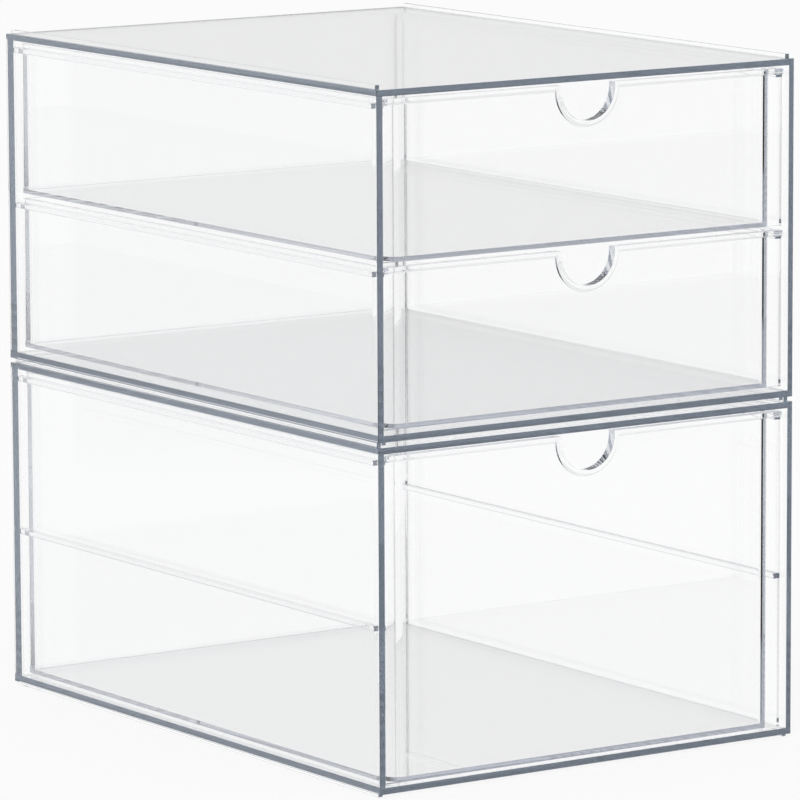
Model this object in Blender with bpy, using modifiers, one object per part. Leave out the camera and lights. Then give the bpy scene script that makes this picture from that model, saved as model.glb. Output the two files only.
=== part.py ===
"""Two clear plastic drawer units, one stacked on the other: two short drawers above one tall drawer."""
import math

import bmesh
import bpy

# The two casings share one size, in metres
CASING_WIDTH = 0.188
CASING_DEPTH = 0.258
CASING_HEIGHT = 0.1275
CASING_WALL = 0.0024
FRONT_CORNER_RADIUS = 0.0021
BACK_CORNER_RADIUS = 0.0008

# Ribs along both sides carry the stack and keep it from sliding sideways
STACK_GAP = 0.0019
SEAT_GAP = 0.0003
RIB_WIDTH = 0.0018
RIB_SIDE_INSET = 0.0008
RIB_FRONT_INSET = 0.0022
RIB_BACK_INSET = 0.0026
FOOT_RIB_HEIGHT = 0.0012
LOCK_RIB_HEIGHT = 0.0014
LOCK_RIB_PLAY = 0.0003

# The room that each drawer leaves inside its casing
SIDE_CLEARANCE = 0.00165
HEAD_CLEARANCE = 0.0012
SHORT_DRAWER_SPACING = 0.0017
SHORT_FLOOR_CLEARANCE = 0.0016
TALL_FLOOR_CLEARANCE = 0.0007
BACK_CLEARANCE = 0.00075

# A drawer is a front plate with a thin round-cornered tub behind it
FRONT_SETBACK = 0.0022
PLATE_THICKNESS = 0.0025
TUB_WALL = 0.0016
TUB_SIDE_STEP = 0.00245
TUB_CORNER_RADIUS = 0.0055
TUB_BASE_RADIUS = 0.003

# The finger notch in the plate's top edge, and the band that flares forward along both
NOTCH_RADIUS = 0.012
NOTCH_DEPTH = 0.0136
FLARE_BAND = 0.0024
FLARE_REACH = 0.0012

# Lips along the tub's sides hang on rails inside the casing
LIP_THICKNESS = 0.0014
RAIL_WIDTH = 0.0032
RAIL_HEIGHT = 0.0018
RAIL_GAP = 0.0003
RAIL_FRONT_GAP = 0.0003
RAIL_LEAD_IN = 0.0008

# How far a cutter runs past what it cuts, and a joined shape sinks into its neighbour
OVERRUN = 0.002
SINK = 0.0004

# Counts of facets on round stretches
CORNER_STEPS = 5
FLARE_STEPS = 3
LEAD_IN_STEPS = 3
NOTCH_STEPS = 28
MERGE_DISTANCE = 0.000001
FLUSH_DIGITS = 7
FLAT_ANGLE = math.radians(1)

# Places that follow from the sizes: the front plane, the heights of the casings and of the drawers in them
FRONT_Y = -CASING_DEPTH / 2
BACK_Y = CASING_DEPTH / 2
LOWER_BASE_Z = FOOT_RIB_HEIGHT
UPPER_BASE_Z = LOWER_BASE_Z + CASING_HEIGHT + STACK_GAP
ROOM_HEIGHT = CASING_HEIGHT - 2 * CASING_WALL
HIGH_DRAWER_TOP = CASING_HEIGHT - CASING_WALL - HEAD_CLEARANCE
SHORT_DRAWERS_HEIGHT = ROOM_HEIGHT - HEAD_CLEARANCE - SHORT_DRAWER_SPACING - SHORT_FLOOR_CLEARANCE
SHORT_HEIGHT = SHORT_DRAWERS_HEIGHT / 2
TALL_HEIGHT = ROOM_HEIGHT - HEAD_CLEARANCE - TALL_FLOOR_CLEARANCE
LOW_DRAWER_TOP = HIGH_DRAWER_TOP - SHORT_HEIGHT - SHORT_DRAWER_SPACING

# Places that follow from the sizes: the drawer's parts, measured from the plate's front face and middle
WALL_INNER_X = CASING_WIDTH / 2 - CASING_WALL
PLATE_HALF_WIDTH = WALL_INNER_X - SIDE_CLEARANCE
TUB_HALF_WIDTH = PLATE_HALF_WIDTH - TUB_SIDE_STEP
TUB_FRONT = PLATE_THICKNESS - TUB_WALL - SINK
TUB_BACK = CASING_DEPTH - CASING_WALL - BACK_CLEARANCE - FRONT_SETBACK
RAIL_FRONT_Y = FRONT_Y + FRONT_SETBACK + PLATE_THICKNESS + RAIL_FRONT_GAP


def clear_scene():
    for item in list(bpy.data.objects):
        bpy.data.objects.remove(item, do_unlink=True)


def new_collection(name):
    collection = bpy.data.collections.new(name)
    bpy.context.scene.collection.children.link(collection)
    return collection


def clear_plastic(name, colour, roughness):
    """A clear polystyrene, faintly tinted."""
    material = bpy.data.materials.new(name)
    material.use_nodes = True
    shader = material.node_tree.nodes["Principled BSDF"]
    shader.inputs["Base Color"].default_value = (*colour, 1)
    shader.inputs["Roughness"].default_value = roughness
    shader.inputs["Metallic"].default_value = 0
    shader.inputs["Transmission Weight"].default_value = 1
    return material


def finish_form(form, mesh):
    """Writes the shape with its corners on a fine grid, so that flats which meet are flush."""
    for vert in form.verts:
        vert.co = [round(value, FLUSH_DIGITS) for value in vert.co]
    form.to_mesh(mesh)
    form.free()


def box_mesh(name, low, high):
    """A block between two corners."""
    mesh = bpy.data.meshes.new(name)
    form = bmesh.new()
    bmesh.ops.create_cube(form, size=1)
    size = [top - bottom for bottom, top in zip(low, high)]
    middle = [(top + bottom) / 2 for bottom, top in zip(low, high)]
    bmesh.ops.scale(form, vec=size, verts=form.verts)
    bmesh.ops.translate(form, vec=middle, verts=form.verts)
    finish_form(form, mesh)
    return mesh


def bevel_edges(mesh, radius, steps, wanted):
    """Rounds the edges that the test picks by their two end points."""
    form = bmesh.new()
    form.from_mesh(mesh)
    edges = [edge for edge in form.edges if wanted(edge.verts[0].co, edge.verts[1].co)]
    bmesh.ops.bevel(form, geom=edges, offset=radius, segments=steps, profile=0.5, affect="EDGES")
    finish_form(form, mesh)


def add_helper(name, mesh, parent):
    """A shape that is only cut from, or joined to, the piece that it hangs on."""
    helper = bpy.data.objects.new(name, mesh)
    helper.parent = parent
    helper.hide_render = True
    helper.display_type = "WIRE"
    CUTTERS.objects.link(helper)
    return helper


def add_mirrored_helper(name, mesh, parent):
    """The same, with its twin on the other side of the middle plane."""
    helper = add_helper(name, mesh, parent)
    mirror = helper.modifiers.new("Other side", "MIRROR")
    mirror.use_axis[0] = True
    mirror.merge_threshold = MERGE_DISTANCE
    return helper


def join_or_cut(piece, helper, operation):
    boolean = piece.modifiers.new(helper.name, "BOOLEAN")
    boolean.operation = operation
    boolean.solver = "EXACT"
    boolean.object = helper


def outline_mesh(name, points, near_y, far_y):
    """A flat outline in X and Z, made as thick as the two planes are apart."""
    curve = bpy.data.curves.new(name, "CURVE")
    curve.dimensions = "2D"
    curve.fill_mode = "BOTH"
    curve.extrude = (far_y - near_y) / 2
    spline = curve.splines.new("POLY")
    spline.points.add(len(points) - 1)
    for point, (x, z) in zip(spline.points, points):
        point.co = (x, z, 0, 1)
    spline.use_cyclic_u = True
    flat = bpy.data.objects.new(name + "_outline", curve)
    flat.rotation_euler = (math.radians(90), 0, 0)
    flat.location = (0, (near_y + far_y) / 2, 0)
    CUTTERS.objects.link(flat)
    bpy.context.view_layer.update()
    evaluated = flat.evaluated_get(bpy.context.evaluated_depsgraph_get())
    mesh = bpy.data.meshes.new_from_object(evaluated)
    form = bmesh.new()
    form.from_mesh(mesh)
    bmesh.ops.transform(form, matrix=flat.matrix_world, verts=form.verts)
    bmesh.ops.remove_doubles(form, verts=form.verts, dist=MERGE_DISTANCE)
    bmesh.ops.dissolve_limit(form, angle_limit=FLAT_ANGLE, verts=form.verts, edges=form.edges)
    finish_form(form, mesh)
    bpy.data.objects.remove(flat, do_unlink=True)
    return mesh


def lower_arc(radius, centre_z, end_z):
    """Points round the lower part of a circle, from its right end to its left end, both at the same height."""
    start = math.asin((end_z - centre_z) / radius)
    sweep = math.pi + 2 * start
    angles = [start - sweep * step / NOTCH_STEPS for step in range(NOTCH_STEPS + 1)]
    return [(radius * math.cos(angle), centre_z + radius * math.sin(angle)) for angle in angles]


def side_rib(name, casing, inset, low_z, high_z):
    """A pair of straight ribs that run from near the front edge to near the back edge."""
    outer_x = CASING_WIDTH / 2 - inset
    low = (outer_x - RIB_WIDTH, FRONT_Y + RIB_FRONT_INSET, low_z)
    high = (outer_x, BACK_Y - RIB_BACK_INSET, high_z)
    ribs = add_mirrored_helper(name, box_mesh(name, low, high), casing)
    join_or_cut(casing, ribs, "UNION")


def side_rails(name, casing, drawer_top):
    """A pair of rails under the lips of a drawer, with the front ends rounded on top to lead it in."""
    top_z = drawer_top - LIP_THICKNESS - RAIL_GAP
    low = (WALL_INNER_X - RAIL_WIDTH, RAIL_FRONT_Y, top_z - RAIL_HEIGHT)
    high = (WALL_INNER_X + SINK, BACK_Y - CASING_WALL + SINK, top_z)
    mesh = box_mesh(name, low, high)

    def front_top(first, second):
        near = max(first.y, second.y) < RAIL_FRONT_Y + MERGE_DISTANCE
        return near and min(first.z, second.z) > top_z - MERGE_DISTANCE

    bevel_edges(mesh, RAIL_LEAD_IN, LEAD_IN_STEPS, front_top)
    join_or_cut(casing, add_mirrored_helper(name, mesh, casing), "UNION")


def make_casing(name, base_z, rib_inset, rib_height, material):
    """A sleeve, closed at the back and open at the front, with rails inside and ribs above and below."""
    half = CASING_WIDTH / 2
    mesh = box_mesh(name, (-half, FRONT_Y, 0), (half, BACK_Y, CASING_HEIGHT))

    def upright(first, second, y):
        same_y = max(abs(first.y - y), abs(second.y - y)) < MERGE_DISTANCE
        return same_y and abs(first.z - second.z) > CASING_HEIGHT / 2

    bevel_edges(mesh, FRONT_CORNER_RADIUS, CORNER_STEPS, lambda a, b: upright(a, b, FRONT_Y))
    bevel_edges(mesh, BACK_CORNER_RADIUS, CORNER_STEPS, lambda a, b: upright(a, b, BACK_Y))
    casing = bpy.data.objects.new(name, mesh)
    casing.location = (0, 0, base_z)
    casing.data.materials.append(material)
    PARTS.objects.link(casing)

    room_low = (-WALL_INNER_X, FRONT_Y - OVERRUN, CASING_WALL)
    room_high = (WALL_INNER_X, BACK_Y - CASING_WALL, CASING_HEIGHT - CASING_WALL)
    room = add_helper(name + "_room", box_mesh(name + "_room", room_low, room_high), casing)
    join_or_cut(casing, room, "DIFFERENCE")

    side_rails(name + "_high_rails", casing, HIGH_DRAWER_TOP)
    side_rails(name + "_low_rails", casing, LOW_DRAWER_TOP)
    top_rib_z = CASING_HEIGHT + STACK_GAP - SEAT_GAP
    side_rib(name + "_top_ribs", casing, RIB_SIDE_INSET, CASING_HEIGHT - SINK, top_rib_z)
    side_rib(name + "_bottom_ribs", casing, rib_inset, -rib_height, SINK)
    return casing


def tub_mesh(name, height):
    """A tub with its upright edges and then its base rounded, open on top and where the plate closes it."""
    low = (-TUB_HALF_WIDTH, TUB_FRONT, 0)
    high = (TUB_HALF_WIDTH, TUB_BACK, height)
    mesh = box_mesh(name, low, high)
    bevel_edges(mesh, TUB_CORNER_RADIUS, CORNER_STEPS, lambda a, b: abs(a.z - b.z) > height / 2)
    bevel_edges(mesh, TUB_BASE_RADIUS, CORNER_STEPS, lambda a, b: max(a.z, b.z) < MERGE_DISTANCE)
    form = bmesh.new()
    form.from_mesh(mesh)
    top = [face for face in form.faces if min(vert.co.z for vert in face.verts) > height - MERGE_DISTANCE]
    front = [face for face in form.faces if max(vert.co.y for vert in face.verts) < TUB_FRONT + MERGE_DISTANCE]
    bmesh.ops.delete(form, geom=top + front, context="FACES")
    finish_form(form, mesh)
    return mesh


def notch_edge(height):
    """The finger notch in the top edge, from left to right: straight down, a half circle, straight up."""
    ring_z = height - NOTCH_DEPTH + NOTCH_RADIUS
    ring = lower_arc(NOTCH_RADIUS, ring_z, ring_z)
    return [(-NOTCH_RADIUS, height)] + ring[::-1] + [(NOTCH_RADIUS, height)]


def plate_mesh(name, height):
    """The flat front plate with its finger notch."""
    corners = [(PLATE_HALF_WIDTH, height), (PLATE_HALF_WIDTH, 0), (-PLATE_HALF_WIDTH, 0), (-PLATE_HALF_WIDTH, height)]
    return outline_mesh(name, corners + notch_edge(height), 0, PLATE_THICKNESS)


def flare_mesh(name, height):
    """The band along the plate's top edge and round its notch, which leans out in front of the plate."""
    band_z = height - FLARE_BAND
    ring_z = height - NOTCH_DEPTH + NOTCH_RADIUS
    ring = lower_arc(NOTCH_RADIUS + FLARE_BAND, ring_z, band_z)
    right_end = [(PLATE_HALF_WIDTH, height), (PLATE_HALF_WIDTH, band_z)]
    left_end = [(-PLATE_HALF_WIDTH, band_z), (-PLATE_HALF_WIDTH, height)]
    points = right_end + ring + left_end + notch_edge(height)
    mesh = outline_mesh(name, points, -FLARE_REACH, SINK)
    ring_reach = (NOTCH_RADIUS + FLARE_BAND / 2) ** 2

    def lower_front(first, second):
        in_front = max(first.y, second.y) < MERGE_DISTANCE - FLARE_REACH
        at_top = min(first.z, second.z) > height - MERGE_DISTANCE
        at_end = min(abs(first.x), abs(second.x)) > PLATE_HALF_WIDTH - MERGE_DISTANCE
        in_notch = max(point.x ** 2 + (point.z - ring_z) ** 2 for point in (first, second)) < ring_reach
        return in_front and not at_top and not at_end and not in_notch

    bevel_edges(mesh, FLARE_REACH, FLARE_STEPS, lower_front)
    return mesh


def make_drawer(name, casing, base_z, height, material):
    """A drawer whose origin is at the middle of its plate's lower front edge, on the line that it slides along."""
    drawer = bpy.data.objects.new(name, tub_mesh(name, height))
    drawer.parent = casing
    drawer.location = (0, FRONT_Y + FRONT_SETBACK, base_z)
    drawer.data.materials.append(material)
    PARTS.objects.link(drawer)
    wall = drawer.modifiers.new("Wall", "SOLIDIFY")
    wall.thickness = TUB_WALL
    wall.offset = -1
    wall.use_even_offset = True
    wall.use_quality_normals = True

    plate = add_helper(name + "_plate", plate_mesh(name + "_plate", height), drawer)
    join_or_cut(drawer, plate, "UNION")

    lip_low = (TUB_HALF_WIDTH - SINK, PLATE_THICKNESS - SINK, height - LIP_THICKNESS)
    lip_high = (PLATE_HALF_WIDTH, TUB_BACK - TUB_CORNER_RADIUS, height)
    lips = add_mirrored_helper(name + "_lips", box_mesh(name + "_lips", lip_low, lip_high), drawer)
    join_or_cut(drawer, lips, "UNION")

    flare = add_helper(name + "_flare", flare_mesh(name + "_flare", height), drawer)
    join_or_cut(drawer, flare, "UNION")
    return drawer


clear_scene()
PARTS = new_collection("Clear stacking drawers")
CUTTERS = new_collection("Cutters")

CASING_PLASTIC = clear_plastic("Clear casing plastic", (0.94, 0.955, 0.97), 0.04)
DRAWER_PLASTIC = clear_plastic("Clear drawer plastic", (0.95, 0.96, 0.975), 0.06)

lock_rib_inset = RIB_SIDE_INSET + RIB_WIDTH + LOCK_RIB_PLAY
lower_casing = make_casing("lower_casing", LOWER_BASE_Z, RIB_SIDE_INSET, FOOT_RIB_HEIGHT, CASING_PLASTIC)
upper_casing = make_casing("upper_casing", UPPER_BASE_Z, lock_rib_inset, LOCK_RIB_HEIGHT, CASING_PLASTIC)

make_drawer("tall_drawer", lower_casing, HIGH_DRAWER_TOP - TALL_HEIGHT, TALL_HEIGHT, DRAWER_PLASTIC)
make_drawer("top_drawer", upper_casing, HIGH_DRAWER_TOP - SHORT_HEIGHT, SHORT_HEIGHT, DRAWER_PLASTIC)
make_drawer("middle_drawer", upper_casing, LOW_DRAWER_TOP - SHORT_HEIGHT, SHORT_HEIGHT, DRAWER_PLASTIC)
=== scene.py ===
"""Looks for a stack of clear plastic drawer units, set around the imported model."""
import math

import bpy
from mathutils import Matrix, Vector


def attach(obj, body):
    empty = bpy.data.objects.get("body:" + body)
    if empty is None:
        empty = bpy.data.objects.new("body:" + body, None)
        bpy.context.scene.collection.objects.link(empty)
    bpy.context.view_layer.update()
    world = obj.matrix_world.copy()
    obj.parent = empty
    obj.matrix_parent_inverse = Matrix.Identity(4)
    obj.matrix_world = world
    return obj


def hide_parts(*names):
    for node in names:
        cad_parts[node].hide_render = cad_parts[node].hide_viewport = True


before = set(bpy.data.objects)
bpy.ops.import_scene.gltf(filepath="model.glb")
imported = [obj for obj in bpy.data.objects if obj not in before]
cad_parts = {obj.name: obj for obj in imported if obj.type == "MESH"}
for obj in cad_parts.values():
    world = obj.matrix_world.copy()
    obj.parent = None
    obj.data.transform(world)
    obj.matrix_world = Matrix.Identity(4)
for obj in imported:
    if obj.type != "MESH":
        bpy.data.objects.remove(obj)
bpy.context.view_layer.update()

# The studio
# A white table top in a white room that is dark on the camera's side. Light which the clear plastic
# turns back towards the camera comes from there, and that draws the corners as thin dark lines.
TABLE_SIZE = 6.0
TABLE_DROP = 0.0002
TABLE_COLOUR = (0.96, 0.96, 0.965, 1)
WHITE = (1, 1, 1, 1)
SHADOW_SHARE = 0.12
ROOM_LIGHT = 0.9
DARK_SIDE = Vector((-0.5555, -0.8169, 0.1549))
DARK_LEVEL = 0.04
ROOM_DARK = (0.6, 0.85)
TABLE_DARK = (0.22, 0.4)
BEARING_DARK = (0.85, 0.95)
LIGHT_BOUNCES = 96
LAMP_WATTS = 14.0
LAMP_SIZE = 1.6
LAMP_PLACE = (-1.2, -1.4, 2.2)


def bare_nodes(owner, output_type):
    """The owner's nodes with only an output, the light's path and a place left in them."""
    owner.use_nodes = True
    nodes, links = owner.node_tree.nodes, owner.node_tree.links
    nodes.clear()
    output = nodes.new(output_type)
    rays = nodes.new("ShaderNodeLightPath")
    place = nodes.new("ShaderNodeTexCoord")
    return nodes, links, output, rays, place


def work_out(nodes, links, operation, first, second):
    """One operation on two values, each of them a number or an output."""
    node = nodes.new("ShaderNodeMath")
    node.operation = operation
    for socket, value in zip(node.inputs, (first, second)):
        if isinstance(value, (int, float)):
            socket.default_value = value
        else:
            links.new(value, socket)
    return node.outputs[0]


def towards_dark(nodes, links, place, reach):
    """How bright a place is: 1 where the dark side begins, and the dark level where it is full."""
    along = nodes.new("ShaderNodeVectorMath")
    along.operation = "DOT_PRODUCT"
    along.inputs[1].default_value = DARK_SIDE
    links.new(place, along.inputs[0])
    level = nodes.new("ShaderNodeMapRange")
    level.inputs["From Min"].default_value, level.inputs["From Max"].default_value = reach
    level.inputs["To Min"].default_value = 1
    level.inputs["To Max"].default_value = DARK_LEVEL
    links.new(along.outputs["Value"], level.inputs["Value"])
    return level.outputs["Result"]


def through_plastic(nodes, links, rays):
    """1 for light that plastic passed on or threw back, and 0 for all other light."""
    passed, thrown = rays.outputs["Is Transmission Ray"], rays.outputs["Is Glossy Ray"]
    return work_out(nodes, links, "MAXIMUM", passed, thrown)


bpy.ops.object.select_all(action="DESELECT")
bpy.ops.mesh.primitive_plane_add(size=TABLE_SIZE, location=(0, 0, -TABLE_DROP))
table = bpy.context.object
table.name = "table_top"
table_paint = bpy.data.materials.new("White table top")
nodes, links, output, rays, place = bare_nodes(table_paint, "ShaderNodeOutputMaterial")
in_view = rays.outputs["Is Camera Ray"]
shaded = nodes.new("ShaderNodeBsdfDiffuse")
shaded.inputs["Color"].default_value = TABLE_COLOUR
plain = nodes.new("ShaderNodeEmission")
plain.inputs["Color"].default_value = WHITE
bearing = nodes.new("ShaderNodeVectorMath")
bearing.operation = "NORMALIZE"
links.new(place.outputs["Object"], bearing.inputs[0])
by_distance = towards_dark(nodes, links, place.outputs["Object"], TABLE_DARK)
by_bearing = towards_dark(nodes, links, bearing.outputs[0], BEARING_DARK)
lit = work_out(nodes, links, "MAXIMUM", by_distance, by_bearing)
links.new(work_out(nodes, links, "MAXIMUM", lit, in_view), plain.inputs["Strength"])
direct = work_out(nodes, links, "MULTIPLY", in_view, 1 - SHADOW_SHARE)
bent = through_plastic(nodes, links, rays)
mix = nodes.new("ShaderNodeMixShader")
links.new(work_out(nodes, links, "MAXIMUM", bent, direct), mix.inputs[0])
links.new(shaded.outputs[0], mix.inputs[1])
links.new(plain.outputs[0], mix.inputs[2])
links.new(mix.outputs[0], output.inputs["Surface"])
table.data.materials.append(table_paint)

room = bpy.data.worlds.new("White room")
bpy.context.scene.world = room
nodes, links, output, rays, place = bare_nodes(room, "ShaderNodeOutputWorld")
walls = nodes.new("ShaderNodeBackground")
sides = towards_dark(nodes, links, place.outputs["Generated"], ROOM_DARK)
bent = through_plastic(nodes, links, rays)
seen = work_out(nodes, links, "MULTIPLY", bent, sides)
unseen = work_out(nodes, links, "SUBTRACT", 1, bent)
soft = work_out(nodes, links, "MULTIPLY", unseen, ROOM_LIGHT)
around = work_out(nodes, links, "MAXIMUM", seen, soft)
level = work_out(nodes, links, "MAXIMUM", around, rays.outputs["Is Camera Ray"])
links.new(level, walls.inputs["Strength"])
links.new(walls.outputs[0], output.inputs["Surface"])

lamp_light = bpy.data.lights.new("soft_box", "AREA")
lamp_light.size = LAMP_SIZE
lamp_light.energy = LAMP_WATTS
lamp = bpy.data.objects.new("soft_box", lamp_light)
lamp.location = LAMP_PLACE
lamp.rotation_euler = (-Vector(LAMP_PLACE)).to_track_quat("-Z", "Y").to_euler()
bpy.context.scene.collection.objects.link(lamp)
bpy.context.scene.view_settings.view_transform = "Standard"
bpy.context.scene.cycles.max_bounces = LIGHT_BOUNCES
bpy.context.scene.cycles.transmission_bounces = LIGHT_BOUNCES
bpy.context.scene.cycles.glossy_bounces = LIGHT_BOUNCES

# The camera
# It stands to the left of the unit's front and a little above it, far away with a long lens, as
# the nearly parallel edges in the picture show.
CAMERA_TURN = math.radians(-34.2125)
CAMERA_RISE = math.radians(8.9109)
CAMERA_ROLL = math.radians(-0.2568)
CAMERA_DISTANCE = 2.4467
CAMERA_LENS = 286.46
AIM = Vector((0, -0.0001, 0.13005))
AIM_RIGHT = 0.00267
AIM_UP = -0.00856

back = Vector((
    math.sin(CAMERA_TURN) * math.cos(CAMERA_RISE),
    -math.cos(CAMERA_TURN) * math.cos(CAMERA_RISE),
    math.sin(CAMERA_RISE),
))
right = (-back).cross(Vector((0, 0, 1))).normalized()
up = right.cross(-back)
rolled_right = right * math.cos(CAMERA_ROLL) + up * math.sin(CAMERA_ROLL)
rolled_up = up * math.cos(CAMERA_ROLL) - right * math.sin(CAMERA_ROLL)
camera_data = bpy.data.cameras.new("camera")
camera_data.lens = CAMERA_LENS
camera = bpy.data.objects.new("camera", camera_data)
turn = Matrix((rolled_right, rolled_up, back)).transposed().to_4x4()
stand = AIM + rolled_right * AIM_RIGHT + rolled_up * AIM_UP + back * CAMERA_DISTANCE
camera.matrix_world = Matrix.Translation(stand) @ turn
bpy.context.scene.collection.objects.link(camera)
bpy.context.scene.camera = camera

# The casings
# Two equal clear polystyrene mouldings, closed at the back, with rails inside for the drawers'
# lips. The upper one stands on the lower one's top ribs, and its own bottom ribs lock between them.
CASING_WIDTH = 0.188
CASING_DEPTH = 0.258
CASING_HEIGHT = 0.1275
CASING_WALL = 0.0024
CASING_CORNER = 0.0003
ROOM_CORNER = 0.0032
LOWER_CASING_BASE = 0.0012
UPPER_CASING_BASE = 0.1306
RAIL_WIDTH = 0.0032
RAIL_HEIGHT = 0.0018
RAIL_FRONT = 0.005
RAIL_LEAD_IN = 0.0008
RAIL_TOPS = (0.1222, 0.0614)
RIB_WIDTH = 0.0018
RIB_SIDE_INSET = 0.0008
RIB_FRONT_INSET = 0.0022
RIB_BACK_INSET = 0.0026
RIB_TOP = 0.0016
FOOT_RIB_DROP = 0.0012
LOCK_RIB_DROP = 0.0014
LOCK_RIB_INSET = 0.0029
SINK = 0.0004
NEAR = 0.000002
FACING = 0.9
GRID_DIGITS = 7
ROUND_STEPS = 16
EDGE_STEPS = 3
SMOOTH_ANGLE = math.radians(30)
FLAT_WEIGHT = 100
PLASTIC_IOR = 1.5
POLISH_WAVES = 9.0
POLISH_DETAIL = 2.0
ABSORPTION_DENSITY = 10.0
CASING_ABSORPTION = (6.65, 5.97, 5.17)
CASING_ROUGHNESS = 0.004


def pick_only(piece):
    bpy.ops.object.select_all(action="DESELECT")
    piece.select_set(True)
    bpy.context.view_layer.objects.active = piece


def settle(piece):
    """Moves a new piece's place, turn and size into its mesh."""
    bpy.ops.object.transform_apply(location=True, rotation=True, scale=True)
    return piece


def block(name, low, high):
    """A block between two corners."""
    bpy.ops.object.select_all(action="DESELECT")
    middle = [(first + second) / 2 for first, second in zip(low, high)]
    size = [second - first for first, second in zip(low, high)]
    bpy.ops.mesh.primitive_cube_add(size=1, location=middle, scale=size)
    piece = settle(bpy.context.object)
    piece.name = name
    return piece


def change(piece, wanted_edges, wanted_faces, operator, **settings):
    """Selects edges or faces by their place and runs one edit-mode operator on them."""
    pick_only(piece)
    mesh = piece.data
    for group in (mesh.vertices, mesh.edges, mesh.polygons):
        group.foreach_set("select", [False] * len(group))
    by_face = wanted_faces is not None
    bpy.context.tool_settings.mesh_select_mode = (False, not by_face, by_face)
    if by_face:
        for face in mesh.polygons:
            face.select = wanted_faces(face)
    else:
        for edge in mesh.edges:
            edge.select = wanted_edges(*(mesh.vertices[index].co for index in edge.vertices))
    bpy.ops.object.mode_set(mode="EDIT")
    operator(**settings)
    bpy.ops.object.mode_set(mode="OBJECT")


def round_edges(piece, radius, steps, wanted):
    change(piece, wanted, None, bpy.ops.mesh.bevel, offset=radius, segments=steps, affect="EDGES")


def open_faces(piece, wanted):
    change(piece, None, wanted, bpy.ops.mesh.delete, type="FACE")


def hollow(piece, wall):
    """Gives an open form its wall, inwards."""
    pick_only(piece)
    shell = piece.modifiers.new("Wall", "SOLIDIFY")
    shell.thickness = wall
    shell.offset = -1
    shell.use_even_offset = True
    shell.use_quality_normals = True
    bpy.ops.object.modifier_apply(modifier=shell.name)


def snap(piece):
    """Puts the corners on a fine grid, so that flats which meet are flush."""
    for corner in piece.data.vertices:
        corner.co = [round(value, GRID_DIGITS) for value in corner.co]


def join(piece, other, operation="UNION"):
    snap(piece)
    snap(other)
    pick_only(piece)
    boolean = piece.modifiers.new("Join", "BOOLEAN")
    boolean.operation = operation
    boolean.solver = "EXACT"
    boolean.object = other
    bpy.ops.object.modifier_apply(modifier=boolean.name)
    bpy.data.objects.remove(other, do_unlink=True)


def smooth(piece):
    """Shades the round stretches smooth and keeps the flats flat."""
    pick_only(piece)
    bpy.ops.object.shade_smooth_by_angle(angle=SMOOTH_ANGLE)
    flats = piece.modifiers.new("Flats", "WEIGHTED_NORMAL")
    flats.keep_sharp = True
    flats.weight = FLAT_WEIGHT
    bpy.ops.object.modifier_apply(modifier=flats.name)


def upright(first, second, length):
    """Whether an edge stands up and is longer than this."""
    level_gap = max(abs(first.x - second.x), abs(first.y - second.y))
    return level_gap < NEAR and abs(first.z - second.z) > length


def clear_plastic(name, absorption, roughness):
    """Clear polystyrene: nearly colourless through a wall, slate grey where light runs along it."""
    material = bpy.data.materials.new(name)
    material.use_nodes = True
    nodes, links = material.node_tree.nodes, material.node_tree.links
    shader = nodes["Principled BSDF"]
    shader.inputs["Base Color"].default_value = WHITE
    shader.inputs["IOR"].default_value = PLASTIC_IOR
    shader.inputs["Transmission Weight"].default_value = 1
    place = nodes.new("ShaderNodeTexCoord")
    waves = nodes.new("ShaderNodeTexNoise")
    waves.inputs["Scale"].default_value = POLISH_WAVES
    waves.inputs["Detail"].default_value = POLISH_DETAIL
    links.new(place.outputs["Object"], waves.inputs["Vector"])
    polish = nodes.new("ShaderNodeMapRange")
    polish.inputs["To Min"].default_value = 0
    polish.inputs["To Max"].default_value = roughness
    links.new(waves.outputs["Fac"], polish.inputs["Value"])
    links.new(polish.outputs["Result"], shader.inputs["Roughness"])
    depth = nodes.new("ShaderNodeVolumeAbsorption")
    kept = [1 - value / ABSORPTION_DENSITY for value in absorption]
    depth.inputs["Color"].default_value = (*kept, 1)
    depth.inputs["Density"].default_value = ABSORPTION_DENSITY
    links.new(depth.outputs[0], nodes["Material Output"].inputs["Volume"])
    return material


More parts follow.
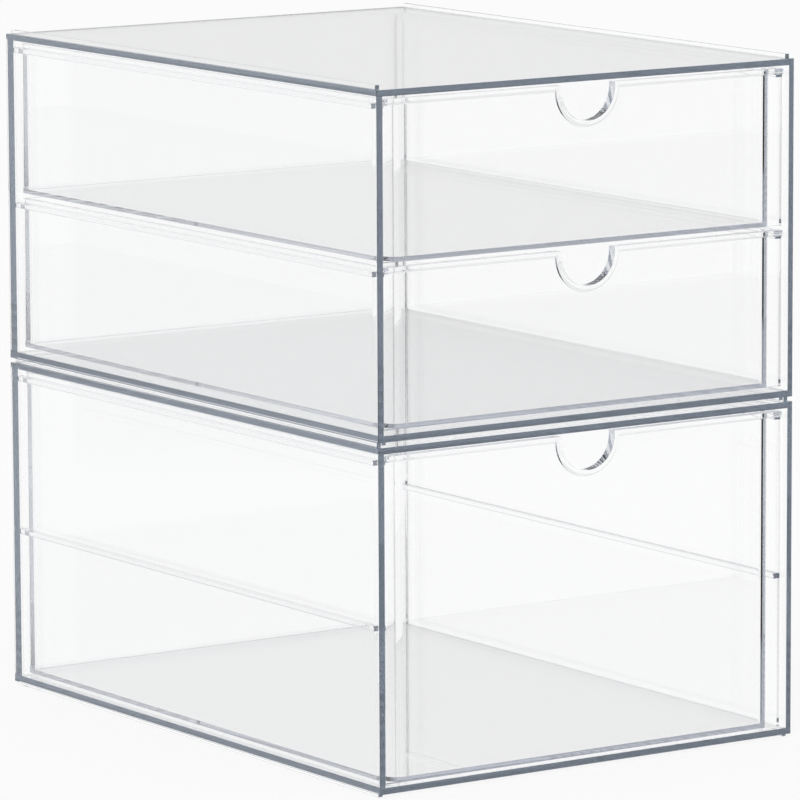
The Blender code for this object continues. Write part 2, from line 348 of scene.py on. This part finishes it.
casing_plastic = clear_plastic("Clear casing plastic", CASING_ABSORPTION, CASING_ROUGHNESS)
half = CASING_WIDTH / 2
front = -CASING_DEPTH / 2
rear = CASING_DEPTH / 2
inner_x = half - CASING_WALL
inner_y = rear - CASING_WALL
for name, body, base, low_inset, low_drop in (
    ("lower_casing", "lower_unit", LOWER_CASING_BASE, RIB_SIDE_INSET, FOOT_RIB_DROP),
    ("upper_casing", "upper_unit", UPPER_CASING_BASE, LOCK_RIB_INSET, LOCK_RIB_DROP),
):
    casing = block(name + "_moulding", (-half, front, base), (half, rear, base + CASING_HEIGHT))
    open_faces(casing, lambda face: face.normal.y < -FACING)
    hollow(casing, CASING_WALL)
    round_edges(casing, ROOM_CORNER, ROUND_STEPS, lambda a, b: (
        upright(a, b, CASING_HEIGHT / 2)
        and abs(a.x) < inner_x + NEAR
        and abs(a.y - inner_y) < NEAR
    ))
    round_edges(casing, CASING_CORNER, EDGE_STEPS, lambda a, b: (
        upright(a, b, CASING_HEIGHT / 2) and abs(a.x) > half - NEAR
    ))
    for side in (-1, 1):
        for top in RAIL_TOPS:
            ends = sorted((side * (inner_x - RAIL_WIDTH), side * (inner_x + SINK)))
            low = (ends[0], front + RAIL_FRONT, base + top - RAIL_HEIGHT)
            high = (ends[1], inner_y + SINK, base + top)
            rail = block("rail", low, high)
            round_edges(rail, RAIL_LEAD_IN, EDGE_STEPS, lambda a, b: (
                max(a.y, b.y) < low[1] + NEAR and min(a.z, b.z) > high[2] - NEAR
            ))
            join(casing, rail)
        for inset, rib_low, rib_high in (
            (RIB_SIDE_INSET, CASING_HEIGHT - SINK, CASING_HEIGHT + RIB_TOP),
            (low_inset, -low_drop, SINK),
        ):
            ends = sorted((side * (half - inset - RIB_WIDTH), side * (half - inset)))
            low = (ends[0], front + RIB_FRONT_INSET, base + rib_low)
            high = (ends[1], rear - RIB_BACK_INSET, base + rib_high)
            join(casing, block("rib", low, high))
    smooth(casing)
    casing.data.materials.append(casing_plastic)
    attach(casing, body)
    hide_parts(name)

# The drawers
# Clear polystyrene mouldings: a thin tub behind a flat front plate, whose top edge and finger notch
# have a band that flares forward. Lips along the sides hang on the casing's rails and slide there.
PLATE_HALF = 0.08995
PLATE_FRONT = -0.1268
PLATE_THICKNESS = 0.0025
TUB_HALF = 0.0875
TUB_FRONT_SETBACK = 0.0005
TUB_BACK_SETBACK = 0.25265
TUB_WALL = 0.0016
TUB_FRONT_CORNER = 0.0088
TUB_BASE_CORNER = 0.0003
TUB_BASE_FILLET = 0.0014
TUB_BASE_START = 0.001
TUB_FILLET = 0.0028
TUB_FRONT_FACING = 0.999
RIM_STEP = 0.0002
LIP_THICKNESS = 0.0014
LIP_BACK_SETBACK = 0.24715
NOTCH_RADIUS = 0.012
NOTCH_NECK = 0.0016
ROD_STEPS = 96
FLARE_BAND = 0.0024
FLARE_REACH = 0.0012
FLARE_END_INSET = 0.0003
FLARE_ROUND_SHARE = 0.95
FLARE_STEPS = 6
OVERRUN = 0.002
SHORT_DRAWER_HEIGHT = 0.0591
TALL_DRAWER_HEIGHT = 0.1208
TALL_DRAWER_BASE = 0.0043
MIDDLE_DRAWER_BASE = 0.1346
TOP_DRAWER_BASE = 0.1954
DRAWER_ABSORPTION = (2.4, 2.2, 1.8)
DRAWER_ROUGHNESS = 0.005


def rod(radius, length, middle, tilt=0.0):
    """A round rod that stands up, tilted about the X axis."""
    bpy.ops.object.select_all(action="DESELECT")
    bpy.ops.mesh.primitive_cylinder_add(
        vertices=ROD_STEPS, radius=radius, depth=length, location=middle, rotation=(tilt, 0, 0)
    )
    return settle(bpy.context.object)


def disc(radius, height, disc_front, disc_rear):
    """A disc on the unit's middle line that faces the front."""
    middle = (0, (disc_front + disc_rear) / 2, height)
    return rod(radius, disc_rear - disc_front, middle, math.radians(90))


drawer_plastic = clear_plastic("Clear drawer plastic", DRAWER_ABSORPTION, DRAWER_ROUGHNESS)
tub_front = PLATE_FRONT + TUB_FRONT_SETBACK
tub_back = PLATE_FRONT + TUB_BACK_SETBACK
base_front = tub_front + TUB_BASE_START
plate_back = PLATE_FRONT + PLATE_THICKNESS
band_half = PLATE_HALF - FLARE_END_INSET
band_front = PLATE_FRONT - FLARE_REACH
band_rear = PLATE_FRONT + SINK
band_round = FLARE_REACH * FLARE_ROUND_SHARE
notch_front = band_front - OVERRUN
notch_rear = plate_back + OVERRUN
for name, base, height in (
    ("tall_drawer", TALL_DRAWER_BASE, TALL_DRAWER_HEIGHT),
    ("middle_drawer", MIDDLE_DRAWER_BASE, SHORT_DRAWER_HEIGHT),
    ("top_drawer", TOP_DRAWER_BASE, SHORT_DRAWER_HEIGHT),
):
    top = base + height
    rim = top - RIM_STEP
    floor = base + TUB_WALL
    drawer = block(name + "_moulding", (-TUB_HALF, tub_front, base), (TUB_HALF, tub_back, rim))
    round_edges(drawer, TUB_FRONT_CORNER, ROUND_STEPS, lambda a, b: (
        upright(a, b, height / 2) and a.y < tub_front + NEAR
    ))
    open_faces(drawer, lambda face: face.normal.z > FACING or face.normal.y < -TUB_FRONT_FACING)
    hollow(drawer, TUB_WALL)
    round_edges(drawer, TUB_BASE_FILLET, ROUND_STEPS, lambda a, b: (
        max(abs(a.z - floor), abs(b.z - floor)) < NEAR and max(a.y, b.y) > base_front
    ))
    round_edges(drawer, TUB_BASE_CORNER, EDGE_STEPS, lambda a, b: (
        max(a.z, b.z) < base + NEAR and max(a.y, b.y) > base_front
    ))
    for side in (-1, 1):
        corner_x = side * (TUB_HALF - TUB_WALL)
        corner_y = tub_back - TUB_WALL
        centre_x = corner_x - side * TUB_FILLET
        centre_y = corner_y - TUB_FILLET
        ends = sorted((centre_x, corner_x + side * SINK))
        low = (ends[0], centre_y, base + TUB_WALL / 2)
        fillet = block("fillet", low, (ends[1], corner_y + SINK, rim - SINK))
        hole = rod(TUB_FILLET, height * 2, (centre_x, centre_y, base + height / 2))
        join(fillet, hole, "DIFFERENCE")
        join(drawer, fillet)

    ring = top - NOTCH_NECK
    band_low = (-band_half, band_front, top - FLARE_BAND)
    flare = block("flare", band_low, (band_half, band_rear, top))
    round_edges(flare, band_round, FLARE_STEPS, lambda a, b: (
        max(a.y, b.y) < band_front + NEAR and max(a.z, b.z) < top - NEAR
    ))
    collar = disc(NOTCH_RADIUS + FLARE_BAND, ring, band_front, band_rear)
    round_edges(collar, band_round, FLARE_STEPS, lambda a, b: (
        max(a.y, b.y) < band_front + NEAR
    ))
    above_low = (-band_half, band_front - OVERRUN, top - FLARE_BAND / 2)
    above_high = (band_half, band_rear + OVERRUN, top + NOTCH_RADIUS * 2)
    join(collar, block("above", above_low, above_high), "DIFFERENCE")
    join(flare, collar)
    plate = block("plate", (-PLATE_HALF, PLATE_FRONT, base), (PLATE_HALF, plate_back, top))
    join(plate, flare)
    join(plate, disc(NOTCH_RADIUS, ring, notch_front, notch_rear), "DIFFERENCE")
    neck_low = (-NOTCH_RADIUS, notch_front, ring)
    neck_high = (NOTCH_RADIUS, notch_rear, top + OVERRUN)
    join(plate, block("neck", neck_low, neck_high), "DIFFERENCE")
    join(drawer, plate)
    for side in (-1, 1):
        ends = sorted((side * (TUB_HALF - SINK), side * PLATE_HALF))
        low = (ends[0], plate_back - SINK, top - LIP_THICKNESS)
        join(drawer, block("lip", low, (ends[1], PLATE_FRONT + LIP_BACK_SETBACK, top)))
    smooth(drawer)
    drawer.data.materials.append(drawer_plastic)
    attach(drawer, name)
    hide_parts(name)
